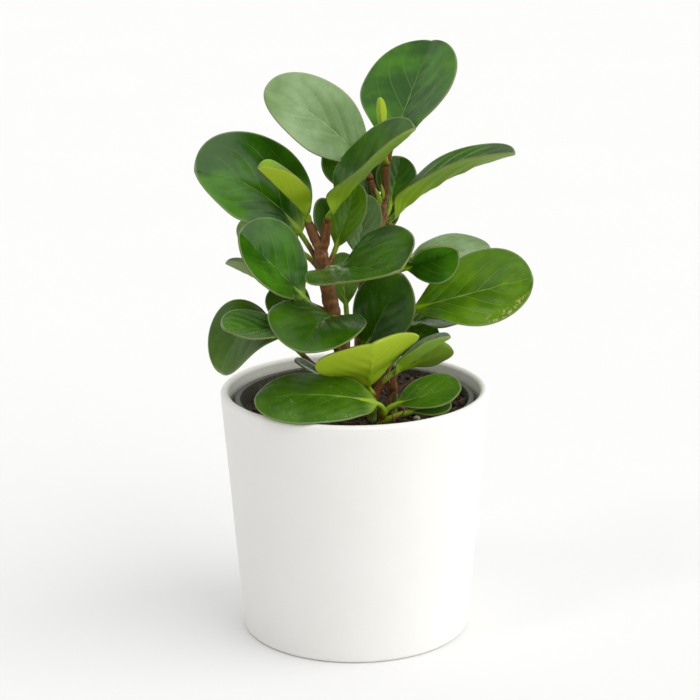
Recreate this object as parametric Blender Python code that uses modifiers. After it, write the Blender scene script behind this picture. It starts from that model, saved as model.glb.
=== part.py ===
"""Potted peperomia (Peperomia obtusifolia) in a plain white cover pot.

Frame: metres, +Z up, the origin at the middle of the cover pot's flat base, -Y is the front.
Lengths in the tables are millimetres and angles are degrees.
Each leaf is one solid: a round petiole that lofts into a thin, folded and arched blade.
"""
import bpy
import bmesh
from math import atan2, cos, hypot, pi, radians, sin
from mathutils import Quaternion, Vector

MM = 0.001
GAP = 0.3                    # clearance between pieces that touch
UP = Vector((0, 0, 1))

# Pots: both are turned, with this many facets round them
SIDES = 40
POT_HEIGHT = 130.0
POT_RIM_RADIUS = 70.0
POT_BASE_RADIUS = 60.0
POT_WALL = 4.2
POT_FLOOR = 6.0
POT_ROUND = 2.0              # radius of the base edge

NURSERY_TOP = 125.0          # the thin plastic pot that stands inside the cover pot
NURSERY_BASE_RADIUS = 45.0
NURSERY_RIM_RADIUS = 62.4
NURSERY_WALL = 1.0
NURSERY_LIP = (1.8, 4.0)     # how far its lip stands out, and how deep the lip is
DRAIN_RADIUS = 4.0
DRAIN_CIRCLE = 30.0
DRAIN_COUNT = 6

# Soil
SOIL_LEVEL = 117.5           # mean height of its top
SOIL_HEAP = 5.0              # rise at the back right, where it meets the nursery rim
SOIL_BUMP = 1.0              # height of the lumps in its top
SOIL_RINGS = 6
HEAP_WAY = 50.0              # direction of the heap, from +X towards +Y

# A bead of slow-release fertiliser on the soil
PELLET_PLACE = (32.0, -19.0)
PELLET_RADII = (1.8, 1.8, 1.3)
PELLET_LIFT = 0.9            # the faceted soil lies up to this much above its smooth height

# Leaves
PETIOLE_RADIUS = 1.4
PETIOLE_STEPS = 3
BLADE_STEPS = 10
BLADE_THICK = 1.3            # at the midrib
MARGIN_THINNING = 0.35       # share of the thickness that is lost towards the margin
BASE_CURL = 25.0             # how much more the two halves fold up beside the petiole
BASE_BLEND = 0.22            # share of the blade over which the petiole flattens
SECTION = [(-1, 0), (-0.5, 1), (0, 1), (0.5, 1), (1, 0), (0.5, -1), (0, -1), (-0.5, -1)]

# Stem centrelines, from the soil up: x, y, z and radius. The first is the stem, the rest its forks
STEMS = {
    "stem_front": [
        [(0, -2, 105, 4.2), (-1, -2, 120, 4.2), (-5, -3, 144, 4.1), (-11, -5, 172, 4.0),
         (-14, -6, 190, 3.9), (-17, -6, 206, 3.4)],
        [(-16, -6, 203, 2.8), (-20, -6, 212, 2.7), (-23, -7, 220, 2.2)],
        [(-16, -6, 203, 2.8), (-14, -7, 213, 2.6), (-13, -8, 220, 2.2)]],
    "stem_back": [
        [(3, 9, 105, 3.2), (3, 9, 118, 3.2), (3, 9, 150, 3.0), (5, 9, 180, 2.9),
         (9, 10, 203, 2.7), (14, 11, 220, 2.5), (15, 11, 227, 2.4)],
        [(15, 11, 224, 2.0), (12, 10, 230, 1.9), (9, 9, 238, 1.7)],
        [(15, 11, 224, 2.2), (17, 12, 232, 2.1), (17, 12, 241, 2.0), (18, 12, 248, 1.6)]],
    "stem_right": [
        [(10, 1, 105, 3.2), (10, 1, 118, 3.1), (12, 3, 149, 3.0), (16, 4, 176, 2.6),
         (18, 5, 196, 2.2), (21, 6, 213, 1.7)]],
    "shoot_front": [[(9, -20, 107, 2.2), (9, -20, 118, 2.2), (10, -20, 131, 1.9)]],
    "shoot_right": [[(20, -12, 107, 2.0), (20, -12, 119, 2.0), (21, -12, 131, 1.7)]],
    "shoot_rim": [[(13, -34, 107, 2.0), (13, -34, 117, 2.0), (14, -35, 124, 1.8)]],
    "dead_shoot": [[(15, -25, 112, 1.5), (15, -25, 120, 1.5), (17, -24, 128, 1.4),
                    (22, -22, 134, 0.9), (28, -20, 138, 0.6), (29, -20, 141, 0.4)]],
    "dry_curl": [
        [(20, -43, 112, 0.6), (20, -43, 118, 0.6), (20, -43, 125, 0.5), (24, -43, 128, 0.5),
         (25, -43, 131, 0.4), (23, -43, 132, 0.3)],
        [(20, -43, 124, 0.4), (19, -43, 127, 0.4), (19, -43, 129, 0.3)]],
}
TIP = 999.0                  # a leaf at this height grows from the end of its stem or fork


def leaf(stem, at, base, tip, width, roll, bow=0, fold=(10, 10), cup=0, widest=0.58, twist=0,
         sweep=0, square=2.0, full=1.0):
    """One row of the leaf table, with what most leaves share as defaults."""
    return dict(stem=stem, at=at, base=base, tip=tip, width=width, roll=roll, bow=bow,
                fold=fold, cup=cup, widest=widest, twist=twist, sweep=sweep, square=square,
                full=full)


# stem, height where the petiole leaves it, blade base, blade tip, width, roll about the midrib
LEAVES = {
    "leaf_top_right": leaf("stem_back", TIP, (20, 13, 254), (42, 54, 303), 55, -3,
                           fold=(14, 14), widest=0.5),
    "leaf_top_left": leaf("stem_back", TIP, (7, 12, 243), (-44, 2, 286), 41, -54, bow=4,
                          fold=(5, 15), widest=0.53, sweep=-3),
    "leaf_centre_upper": leaf("stem_front", TIP, (-12, -12, 224), (31, -31, 271), 48, 26,
                              bow=1, fold=(22, 28), widest=0.42, square=2.6),
    "leaf_young_front": leaf("stem_front", TIP, (-23, -9, 223), (-47, -24, 251), 30, -5,
                             fold=(35, 50), widest=0.5),
    "leaf_upper_left": leaf("stem_front", 190, (-27, 0, 212), (-80, -7, 246), 58, -60,
                            fold=(32, 0), widest=0.48, sweep=-8, square=2.3, full=0.75),
    "leaf_behind_left": leaf("stem_front", 180, (-28, 4, 202), (-58, 15, 216), 36, -25),
    "leaf_middle_left": leaf("stem_front", 168, (-25, -17, 182), (-57, -32, 220), 43, -65,
                             fold=(28, 12), full=0.9),
    "leaf_far_left": leaf("stem_front", 170, (-29, 0, 178), (-66, 4, 196), 30, 10,
                          fold=(25, 25)),
    "leaf_centre_level": leaf("stem_front", 190, (-12, -14, 197), (23, -67, 208), 60, 8,
                              fold=(30, 0), widest=0.43),
    "leaf_inner_upright": leaf("stem_front", 194, (-9, 1, 204), (3, 0, 238), 20, 74),
    "leaf_inner_pale": leaf("stem_back", 194, (2, 3, 199), (8, 5, 231), 23, 53,
                            fold=(15, 15)),
    "leaf_back_right": leaf("stem_back", 211, (19, 19, 222), (25, 26, 247), 22, 40),
    "leaf_long_right": leaf("stem_right", TIP, (19, 3, 218), (81, -20, 256), 42, 20,
                            bow=5, fold=(10, 38), widest=0.46),
    "leaf_cupped_right": leaf("stem_right", 186, (26, -12, 196), (53, -20, 207), 27, 95,
                              fold=(50, 25)),
    "leaf_slim_right": leaf("stem_right", 188, (28, 14, 195), (72, 19, 199), 34, 12),
    "leaf_big_right": leaf("stem_right", 158, (30, -6, 173), (91, -18, 192), 43, 52,
                           widest=0.62, square=2.3),
    "leaf_under_right": leaf("stem_right", 154, (27, 9, 161), (60, 13, 166), 34, 12),
    "leaf_dark_centre": leaf("stem_right", 136, (5, -9, 152), (25, -24, 196), 34, 100),
    "leaf_behind_stem": leaf("stem_front", 140, (-4, 6, 172), (-6, 9, 200), 17, -28),
    "leaf_grey_left": leaf("stem_front", 156, (-22, 2, 166), (-44, 8, 180), 26, -40),
    "leaf_drooping_left": leaf("stem_front", 122, (-35, -7, 158), (-68, -28, 146), 42, -16,
                               bow=18, fold=(8, 12), widest=0.48),
    "leaf_low_left": leaf("stem_front", 140, (-31, -37, 170), (-65, -52, 176), 32, -15),
    "leaf_front_centre": leaf("stem_front", 158, (-8, -15, 171), (-27, -62, 166), 51, -8,
                              bow=6),
    "leaf_front_rim": leaf("shoot_rim", TIP, (11, -41, 133), (-50, -51, 138), 37, -39,
                           bow=6, fold=(5, -18), full=0.6),
    "leaf_lime_underside": leaf("shoot_front", TIP, (7, -24, 138), (9, -58, 169), 56, 16),
    "leaf_striped": leaf("shoot_front", 128, (19, -19, 142), (49, -24, 163), 26, 10,
                         fold=(10, 40)),
    "leaf_low_right": leaf("shoot_right", TIP, (25, -1, 140), (51, -4, 151), 28, -42),
    "leaf_grey_right": leaf("shoot_right", 126, (23, 10, 144), (42, 19, 159), 24, 40),
    "leaf_small_right": leaf("shoot_rim", 122, (20, -34, 130), (54, -34, 140), 25, 27),
    "leaf_under_small": leaf("shoot_rim", 120, (28, -39, 128), (49, -36, 131), 14, 30),
    "leaf_inner_low": leaf("stem_front", 128, (-12, -17, 138), (-30, -28, 152), 14, -20),
    "leaf_behind_top": leaf("stem_back", 218, (-1, 16, 228), (-7, 24, 256), 26, -20),
    "leaf_between_forks": leaf("stem_back", 210, (8, 19, 222), (6, 30, 250), 20, 0),
    "leaf_hanging": leaf("stem_back", 200, (16, 21, 206), (19, 26, 227), 14, 30),
    "leaf_between_petioles": leaf("stem_front", 188, (-15, 9, 206), (-16, 13, 228), 14, 20),
    "bud_top": leaf("stem_back", 245, (15, 8, 260), (14, 5, 281), 7, 0, fold=(40, 40)),
}


# ---------------------------------------------------------------- scene and material helpers

def clear_scene():
    """Start from an empty scene."""
    for old in list(bpy.data.objects):
        bpy.data.objects.remove(old, do_unlink=True)


def new_collection(name):
    """A collection linked to the scene."""
    collection = bpy.data.collections.new(name)
    bpy.context.scene.collection.children.link(collection)
    return collection


def material(name, colour, roughness):
    """A Principled material of one colour."""
    made = bpy.data.materials.new(name)
    made.use_nodes = True
    shader = made.node_tree.nodes["Principled BSDF"]
    shader.inputs["Base Color"].default_value = (*colour, 1)
    shader.inputs["Roughness"].default_value = roughness
    shader.inputs["Metallic"].default_value = 0.0
    return made


def add_object(name, data, finish, collection):
    """An object in its collection, with its own material."""
    made = bpy.data.objects.new(name, data)
    if finish:
        data.materials.append(finish)
    collection.objects.link(made)
    return made


def as_cutter(piece):
    """Cutters are drawn as wire and never rendered."""
    piece.display_type = "WIRE"
    piece.hide_render = True
    return piece


# ---------------------------------------------------------------- turned pieces

def turned(name, profile, finish, collection):
    """A profile of radius and height, outer side first from the top down, turned about Z."""
    mesh = bpy.data.meshes.new(name)
    points = [(radius * MM, 0, height * MM) for radius, height in profile]
    mesh.from_pydata(points, [(i, i + 1) for i in range(len(points) - 1)], [])
    piece = add_object(name, mesh, finish, collection)
    screw = piece.modifiers.new("turn", "SCREW")
    screw.steps = SIDES
    screw.render_steps = SIDES
    screw.use_merge_vertices = True
    screw.merge_threshold = 0.00001
    screw.use_smooth_shade = True
    return piece


def arc(centre, radius, start, end, steps):
    """Points of a round edge in a profile, both ends included."""
    angles = [radians(start + (end - start) * i / steps) for i in range(steps + 1)]
    return [(centre[0] + radius * cos(a), centre[1] + radius * sin(a)) for a in angles]


def cover_pot(collection):
    """The tapered white cover pot: flat base, straight sides and a rounded lip."""
    taper = (POT_RIM_RADIUS - POT_BASE_RADIUS) / POT_HEIGHT
    lip = POT_WALL / 2
    lip_centre = (POT_RIM_RADIUS - lip - lip * taper, POT_HEIGHT - lip)
    inner_base = POT_BASE_RADIUS - POT_WALL + POT_FLOOR * taper
    profile = [(0, POT_FLOOR), (inner_base - 3, POT_FLOOR), (inner_base, POT_FLOOR + 3)]
    profile += arc(lip_centre, lip, 180, 0, 6)
    profile += arc((POT_BASE_RADIUS - POT_ROUND, POT_ROUND), POT_ROUND, 0, -90, 2)
    profile += [(0, 0)]
    finish = material("pot_ceramic", (0.80, 0.79, 0.77), 0.55)
    return turned("cover_pot", profile, finish, collection)


def nursery_wall(height):
    """Outer radius of the nursery pot's wall at a height."""
    foot = POT_FLOOR + GAP
    top_radius = NURSERY_RIM_RADIUS - NURSERY_LIP[0]
    share = (height - foot) / (NURSERY_TOP - foot)
    return NURSERY_BASE_RADIUS + (top_radius - NURSERY_BASE_RADIUS) * share


def drain_cutters(collection):
    """Short cylinders that cut the drain holes in the nursery pot's base."""
    made = []
    for i in range(DRAIN_COUNT):
        turn = 2 * pi * i / DRAIN_COUNT
        mesh = bpy.data.meshes.new("drain_cutter_%d" % i)
        cells = bmesh.new()
        bmesh.ops.create_cone(cells, cap_ends=True, segments=12, radius1=DRAIN_RADIUS * MM,
                              radius2=DRAIN_RADIUS * MM, depth=6 * MM)
        cells.to_mesh(mesh)
        cells.free()
        cutter = as_cutter(add_object(mesh.name, mesh, None, collection))
        cutter.location = (DRAIN_CIRCLE * cos(turn) * MM, DRAIN_CIRCLE * sin(turn) * MM,
                           (POT_FLOOR + GAP) * MM)
        made.append(cutter)
    return made


def nursery_pot(collection, cutters):
    """The thin grey-green pot that holds the soil, with a lip and drain holes."""
    foot = POT_FLOOR + GAP
    reach, depth = NURSERY_LIP
    rim = NURSERY_RIM_RADIUS
    inside = rim - reach - NURSERY_WALL
    profile = [(0, foot + NURSERY_WALL),
               (NURSERY_BASE_RADIUS - NURSERY_WALL, foot + NURSERY_WALL),
               (inside, NURSERY_TOP), (rim, NURSERY_TOP), (rim, NURSERY_TOP - depth),
               (nursery_wall(NURSERY_TOP - depth), NURSERY_TOP - depth),
               (NURSERY_BASE_RADIUS, foot), (0, foot)]
    pot = turned("nursery_pot", profile, material("nursery_plastic", (0.23, 0.24, 0.20), 0.5),
                 collection)
    for cutter in drain_cutters(cutters):
        cut = pot.modifiers.new(cutter.name, "BOOLEAN")
        cut.operation = "DIFFERENCE"
        cut.object = cutter
    return pot


# ---------------------------------------------------------------- stems

def smooth_route(points, per_span=3):
    """Points on a Catmull-Rom curve through rows of numbers of any length."""
    rows = [points[0]] + list(points) + [points[-1]]
    route = []
    for i in range(1, len(rows) - 2):
        for j in range(per_span):
            t = j / per_span
            weights = (-0.5 * t + t * t - 0.5 * t ** 3, 1 - 2.5 * t * t + 1.5 * t ** 3,
                       0.5 * t + 2 * t * t - 1.5 * t ** 3, -0.5 * t * t + 0.5 * t ** 3)
            route.append(tuple(sum(w * rows[i - 1 + k][n] for k, w in enumerate(weights))
                               for n in range(len(points[0]))))
    return route + [tuple(points[-1])]


def tube(name, route, grow, finish, collection):
    """A round tapered tube along a route of x, y, z and radius, as a closed mesh."""
    curve = bpy.data.curves.new(name, "CURVE")
    curve.dimensions = "3D"
    curve.bevel_depth = MM
    curve.bevel_resolution = 2
    curve.use_fill_caps = True
    line = curve.splines.new("POLY")
    line.points.add(len(route) - 1)
    for point, (x, y, z, radius) in zip(line.points, route):
        point.co = (x * MM, y * MM, z * MM, 1)
        point.radius = radius + grow
    drawn = add_object(name + "_curve", curve, None, collection)
    view = bpy.context.evaluated_depsgraph_get()
    mesh = bpy.data.meshes.new_from_object(drawn.evaluated_get(view))
    place = drawn.matrix_world.copy()
    bpy.data.objects.remove(drawn, do_unlink=True)
    cells = bmesh.new()
    cells.from_mesh(mesh)
    bmesh.ops.remove_doubles(cells, verts=cells.verts, dist=0.000001)
    bmesh.ops.recalc_face_normals(cells, faces=cells.faces)
    cells.to_mesh(mesh)
    cells.free()
    mesh.name = name
    mesh.shade_smooth()
    made = add_object(name, mesh, finish, collection)
    made.matrix_world = place
    return made


def stems(collection, cutters):
    """The stems, their forks joined into one solid each, and a cutter for each root hole."""
    holes = []
    for name, lines in STEMS.items():
        finish = material(name, (0.22, 0.085, 0.035), 0.55)
        main = tube(name, smooth_route(lines[0]), 0, finish, collection)
        for i, line in enumerate(lines[1:]):
            branch = as_cutter(tube("%s_fork_%d" % (name, i), smooth_route(line), 0, None,
                                    cutters))
            join = main.modifiers.new(branch.name, "BOOLEAN")
            join.operation = "UNION"
            join.object = branch
        x, y, z, radius = lines[0][0]
        root = [(x, y, z - 2 * GAP, radius)] + smooth_route(lines[0])[:8]
        holes.append(as_cutter(tube(name + "_hole", root, 2 * GAP, None, cutters)))
    return holes


def stem_at(name, height, near):
    """Centre, direction and radius of a stem at a height, on its fork nearest to a point."""
    found = []
    for line in STEMS[name]:
        route = smooth_route(line)
        height_here = min(height, route[-1][2])
        for low, high in zip(route, route[1:]):
            if low[2] <= height_here <= high[2]:
                t = (height_here - low[2]) / (high[2] - low[2])
                point = Vector(low[:3]).lerp(Vector(high[:3]), t)
                way = (Vector(high[:3]) - Vector(low[:3])).normalized()
                found.append((point, way, low[3] + (high[3] - low[3]) * t))
                break
    return min(found, key=lambda item: (item[0] - near).length)


# ---------------------------------------------------------------- soil

def soil_height(x, y):
    """Lumpy top of the soil, which climbs to the nursery rim at the back right."""
    lumps = sin(0.21 * x + 1.3) * cos(0.17 * y) + 0.6 * sin(0.37 * x - 0.29 * y)
    away = hypot(x, y) / NURSERY_RIM_RADIUS
    towards = cos(atan2(y, x) - radians(HEAP_WAY))
    return SOIL_LEVEL + SOIL_BUMP * lumps + SOIL_HEAP * max(0.0, towards) * away ** 2


def soil(collection, holes):
    """The potting soil: it fills the nursery pot and is cut by the roots of the stems."""
    cells = bmesh.new()
    foot = POT_FLOOR + 2 * GAP + NURSERY_WALL
    edge = nursery_wall(SOIL_LEVEL) - NURSERY_WALL - GAP
    bottom_edge = nursery_wall(foot) - NURSERY_WALL - GAP

    def ring(radius, height=None):
        made = []
        for i in range(SIDES):
            x = radius * cos(2 * pi * i / SIDES)
            y = radius * sin(2 * pi * i / SIDES)
            z = soil_height(x, y) if height is None else height
            made.append(cells.verts.new((x * MM, y * MM, z * MM)))
        return made

    rings = [ring(edge * i / SOIL_RINGS) for i in range(1, SOIL_RINGS + 1)]
    rings.append(ring(bottom_edge, foot))
    top = cells.verts.new((0, 0, soil_height(0, 0) * MM))
    for i in range(SIDES):
        j = (i + 1) % SIDES
        cells.faces.new((top, rings[0][i], rings[0][j]))
        for inner, outer in zip(rings, rings[1:]):
            cells.faces.new((inner[i], outer[i], outer[j], inner[j]))
    cells.faces.new(list(reversed(rings[-1])))
    mesh = bpy.data.meshes.new("soil")
    cells.to_mesh(mesh)
    cells.free()
    piece = add_object("soil", mesh, material("soil", (0.035, 0.022, 0.014), 0.95), collection)
    for hole in holes:
        cut = piece.modifiers.new(hole.name, "BOOLEAN")
        cut.operation = "DIFFERENCE"
        cut.object = hole
    return piece


def pellet(collection):
    """A fertiliser bead lying on the soil."""
    x, y = PELLET_PLACE
    mesh = bpy.data.meshes.new("fertiliser_pellet")
    cells = bmesh.new()
    bmesh.ops.create_icosphere(cells, subdivisions=2, radius=MM)
    cells.to_mesh(mesh)
    cells.free()
    mesh.shade_smooth()
    finish = material("fertiliser_pellet", (0.72, 0.68, 0.50), 0.5)
    bead = add_object("fertiliser_pellet", mesh, finish, collection)
    bead.scale = PELLET_RADII
    bead.location = (x * MM, y * MM, (soil_height(x, y) + PELLET_RADII[2] + PELLET_LIFT) * MM)
    return bead


# ---------------------------------------------------------------- leaves

def half_width(row, s):
    """Half the blade's width at a share s of its length: wedge base, elliptic tip."""
    m = row["widest"]
    if s < m:
        return row["width"] / 2 * (1 - (1 - s / m) ** 2) ** row["full"]
    return row["width"] / 2 * (1 - ((s - m) / (1 - m)) ** row["square"]) ** 0.5


def blade_frame(row, s):
    """Point on the midrib, the blade's left and its upper normal at a share s of its length."""
    base = Vector(row["base"])
    chord = Vector(row["tip"]) - base
    ahead = chord.normalized()
    level = UP.cross(ahead).normalized()
    left = Quaternion(ahead, radians(row["roll"])) @ level
    above = ahead.cross(left)
    rise = 4 * s * (1 - s)
    point = base + chord * s + above * row["bow"] * rise + left * row["sweep"] * rise
    slope = 4 * (1 - 2 * s)
    along = (chord + above * row["bow"] * slope + left * row["sweep"] * slope).normalized()
    left = (left - along * left.dot(along)).normalized()
    left = Quaternion(along, radians(row["twist"] * (s - 0.5))) @ left
    return point, along, left, along.cross(left)


def blade_point(row, s, across, lift):
    """A point on the blade: across is -1 at the right margin and 1 at the left one."""
    point, along, left, above = blade_frame(row, s)
    fold = row["fold"][0] if across > 0 else row["fold"][1]
    angle = radians(fold + row["cup"] * abs(across) / 2 + BASE_CURL * (1 - s) ** 4)
    reach = half_width(row, s) * abs(across)
    side = left if across > 0 else -left
    out = side * cos(angle) + above * sin(angle)
    normal = above * cos(angle) - side * sin(angle)
    return point + out * reach + normal * lift


def petiole_start(row, middle):
    """Where the petiole's centreline leaves the stem, and how far out its first ring lies."""
    foot, stem_way, stem_radius = stem_at(row["stem"], row["at"], Vector(row["base"]))
    away = (middle - foot).normalized()
    across = stem_way.cross(away).length
    if row["at"] == TIP:
        return foot, GAP + PETIOLE_RADIUS * across + stem_radius * across * 0.5
    return foot, (stem_radius + GAP + PETIOLE_RADIUS * abs(stem_way.dot(away))) / max(0.4, across)


def leaf_rings(row):
    """Rings of points from the stem to the tip, petiole first."""
    base, along, left, above = blade_frame(row, 0)
    foot = stem_at(row["stem"], row["at"], base)[0]
    middle = base - along * (base - foot).length * 0.5
    foot, start = petiole_start(row, middle)
    first = min(0.6, start / (2 * (middle - foot).length))
    rings = []
    for i in range(PETIOLE_STEPS + 1):
        t = first + (1 - first) * i / PETIOLE_STEPS
        point = foot * (1 - t) ** 2 + middle * 2 * t * (1 - t) + base * t * t
        way = ((middle - foot) * (1 - t) + (base - middle) * t).normalized()
        side = (left - way * left.dot(way)).normalized()
        top = way.cross(side)
        rings.append([point + side * PETIOLE_RADIUS * cos(a) + top * PETIOLE_RADIUS * sin(a)
                      for a in ring_angles()])
    for i in range(1, BLADE_STEPS + 1):
        s = sin(pi / 2 * i / (BLADE_STEPS + 0.6)) ** 1.25
        rings.append(blade_ring(row, s))
    return rings


def ring_angles():
    """Angles of a round section, matched to the points of SECTION."""
    return [pi * (1 - k / 4) for k in range(8)]


def blade_ring(row, s):
    """One ring round the blade, blended from the round petiole near its base."""
    point, along, left, above = blade_frame(row, s)
    blend = min(1.0, s / BASE_BLEND)
    blend = blend * blend * (3 - 2 * blend)
    ring = []
    for (across, face), angle in zip(SECTION, ring_angles()):
        thick = BLADE_THICK * (1 - MARGIN_THINNING * across * across) / 2
        flat = blade_point(row, s, across, face * thick)
        reach = max(PETIOLE_RADIUS, half_width(row, s))
        tube_point = point + left * reach * cos(angle) + above * PETIOLE_RADIUS * sin(angle)
        ring.append(tube_point.lerp(flat, blend))
    return ring


def loft(name, rings, finish, collection):
    """A closed solid through rings of the same number of points."""
    cells = bmesh.new()
    rows = [[cells.verts.new(point * MM) for point in ring] for ring in rings]
    count = len(rows[0])
    for low, high in zip(rows, rows[1:]):
        for i in range(count):
            j = (i + 1) % count
            cells.faces.new((low[i], high[i], high[j], low[j]))
    cells.faces.new(rows[0])
    cells.faces.new(list(reversed(rows[-1])))
    bmesh.ops.recalc_face_normals(cells, faces=cells.faces)
    mesh = bpy.data.meshes.new(name)
    cells.to_mesh(mesh)
    cells.free()
    mesh.shade_smooth()
    return add_object(name, mesh, finish, collection)


def leaves(collection):
    """Every leaf, with its petiole."""
    for name, row in LEAVES.items():
        finish = material(name, (0.045, 0.16, 0.02), 0.3)
        loft(name, leaf_rings(row), finish, collection)


# ---------------------------------------------------------------- the whole plant

def main():
    """Build every piece."""
    clear_scene()
    parts = new_collection("potted_peperomia")
    cutters = new_collection("cutters")
    cover_pot(parts)
    nursery_pot(parts, cutters)
    soil(parts, stems(parts, cutters))
    pellet(parts)
    leaves(parts)


main()
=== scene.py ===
"""Looks of the potted peperomia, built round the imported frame.

Tables hold millimetres and degrees, +Z is up and -Y is the front, as in the design.
The stem and leaf tables repeat the design's own, and every CAD node is replaced by a finer piece:
veined leaves with rounded margins, ringed stems, crumbly soil and smoothly turned pots.
"""

import random
from math import atan2, cos, exp, hypot, pi, radians, sin, sqrt

import bmesh
import bpy
from mathutils import Matrix, Quaternion, Vector, noise


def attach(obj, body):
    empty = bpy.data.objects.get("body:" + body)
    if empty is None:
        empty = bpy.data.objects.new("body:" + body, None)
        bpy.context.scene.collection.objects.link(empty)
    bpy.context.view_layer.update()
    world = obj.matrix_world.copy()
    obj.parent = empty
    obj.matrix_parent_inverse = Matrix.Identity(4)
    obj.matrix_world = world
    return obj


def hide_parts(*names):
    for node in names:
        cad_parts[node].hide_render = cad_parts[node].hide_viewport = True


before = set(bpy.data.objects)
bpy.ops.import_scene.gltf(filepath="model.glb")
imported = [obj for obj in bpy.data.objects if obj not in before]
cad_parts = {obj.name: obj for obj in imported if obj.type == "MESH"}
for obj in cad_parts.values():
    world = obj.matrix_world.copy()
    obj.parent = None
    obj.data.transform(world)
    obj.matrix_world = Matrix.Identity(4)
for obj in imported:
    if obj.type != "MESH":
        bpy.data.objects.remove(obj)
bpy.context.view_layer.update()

MM = 0.001
RIGHT = Vector((1, 0, 0))
BACK = Vector((0, 1, 0))
UP = Vector((0, 0, 1))
SEED = 7

# Pots
POT_SIDES = 160
POT_HEIGHT = 130.0
POT_RIM_RADIUS = 70.0
POT_BASE_RADIUS = 60.0
POT_WALL = 4.2
POT_FLOOR = 6.0
POT_ROUND = 2.0
GAP = 0.3
NURSERY_TOP = 125.0
NURSERY_BASE_RADIUS = 45.0
NURSERY_RIM_RADIUS = 62.4
NURSERY_WALL = 1.0
NURSERY_LIP = (1.8, 4.0)
LIP_ROUND = 0.5
INSIDE_ROUND = 3.0           # where the cover pot's floor meets its wall
FLOOR_RINGS = (15, 30, 45)
WOBBLE_FROM = 30.0           # radius from which a turned wall may be a little uneven
DRAIN_RADIUS = 4.0
DRAIN_CIRCLE = 30.0
DRAIN_COUNT = 6
DRAIN_SIDES = 32

# Soil
SOIL_LEVEL = 117.5
SOIL_HEAP = 5.0
SOIL_BUMP = 1.0
HEAP_WAY = 50.0
SOIL_RINGS = 64
SOIL_SPOKES = 220
CRUMB_COUNT = 1500
CHIP_COUNT = 190
FIBRE_COUNT = 240
PELLET_PLACE = (32.0, -19.0)
PELLET_RADII = (1.8, 1.8, 1.3)
PELLET_LIFT = 0.9

# Leaves
PETIOLE_RADIUS = 1.4
PETIOLE_FLARE = 0.6          # how much thicker the petiole is where it clasps the stem
PETIOLE_STEPS = 12
BLADE_STEPS = 44
BLADE_THICK = 1.3
MARGIN_THINNING = 0.35
MARGIN_ROUND = 0.45          # radius of the rounded margin
BASE_CURL = 25.0
BASE_BLEND = 0.22
ACROSS = (0, 0.03, 0.07, 0.13, 0.2, 0.28, 0.36, 0.44, 0.52, 0.6, 0.68, 0.76, 0.84, 0.91, 0.96,
          0.985, 1)
CREASE = 0.02                # the fold is rounded over this share of the half width
VEIN_SPACING = 0.21          # between lateral veins, as a share of the blade's length
VEIN_LEAN = 0.5              # how far towards the tip a vein has run at the margin
VEIN_ARCH = 0.25
VEIN_DEPTH = 0.10
RIB_DEPTH = 0.3
QUILT = 0.45                 # how far the blade stands up between two veins
RIPPLE = 0.5                 # wave of the margin
SAG = 0.9                    # uneven lie of the blade
# Stem centrelines, from the soil up: x, y, z and radius. The first is the stem, the rest its forks
STEMS = {
    "stem_front": [
        [(0, -2, 105, 4.2), (-1, -2, 120, 4.2), (-5, -3, 144, 4.1), (-11, -5, 172, 4.0),
         (-14, -6, 190, 3.9), (-17, -6, 206, 3.4)],
        [(-16, -6, 203, 2.8), (-20, -6, 212, 2.7), (-23, -7, 220, 2.2)],
        [(-16, -6, 203, 2.8), (-14, -7, 213, 2.6), (-13, -8, 220, 2.2)]],
    "stem_back": [
        [(3, 9, 105, 3.2), (3, 9, 118, 3.2), (3, 9, 150, 3.0), (5, 9, 180, 2.9),
         (9, 10, 203, 2.7), (14, 11, 220, 2.5), (15, 11, 227, 2.4)],
        [(15, 11, 224, 2.0), (12, 10, 230, 1.9), (9, 9, 238, 1.7)],
        [(15, 11, 224, 2.2), (17, 12, 232, 2.1), (17, 12, 241, 2.0), (18, 12, 248, 1.6)]],
    "stem_right": [
        [(10, 1, 105, 3.2), (10, 1, 118, 3.1), (12, 3, 149, 3.0), (16, 4, 176, 2.6),
         (18, 5, 196, 2.2), (21, 6, 213, 1.7)]],
    "shoot_front": [[(9, -20, 107, 2.2), (9, -20, 118, 2.2), (10, -20, 131, 1.9)]],
    "shoot_right": [[(20, -12, 107, 2.0), (20, -12, 119, 2.0), (21, -12, 131, 1.7)]],
    "shoot_rim": [[(13, -34, 107, 2.0), (13, -34, 117, 2.0), (14, -35, 124, 1.8)]],
    "dead_shoot": [[(15, -25, 112, 1.5), (15, -25, 120, 1.5), (17, -24, 128, 1.4),
                    (22, -22, 134, 0.9), (28, -20, 138, 0.6), (29, -20, 141, 0.4)]],
    "dry_curl": [
        [(20, -43, 112, 0.6), (20, -43, 118, 0.6), (20, -43, 125, 0.5), (24, -43, 128, 0.5),
         (25, -43, 131, 0.4), (23, -43, 132, 0.3)],
        [(20, -43, 124, 0.4), (19, -43, 127, 0.4), (19, -43, 129, 0.3)]],
}
TIP = 999.0                  # a leaf at this height grows from the end of its stem or fork
STEM_SIDES = 24
RING_BELOW = 2.5             # how far a ring lies under the petiole's middle
RING_WIDE = 0.8
RING_SWELL = 0.07            # share of the radius
SCAR_SPACING = 27.0


def leaf(stem, at, base, tip, width, roll, bow=0, fold=(10, 10), cup=0, widest=0.58, twist=0,
         sweep=0, square=2.0, full=1.0):
    """One row of the leaf table, with what most leaves share as defaults."""
    return dict(stem=stem, at=at, base=base, tip=tip, width=width, roll=roll, bow=bow,
                fold=fold, cup=cup, widest=widest, twist=twist, sweep=sweep, square=square,
                full=full)


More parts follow.
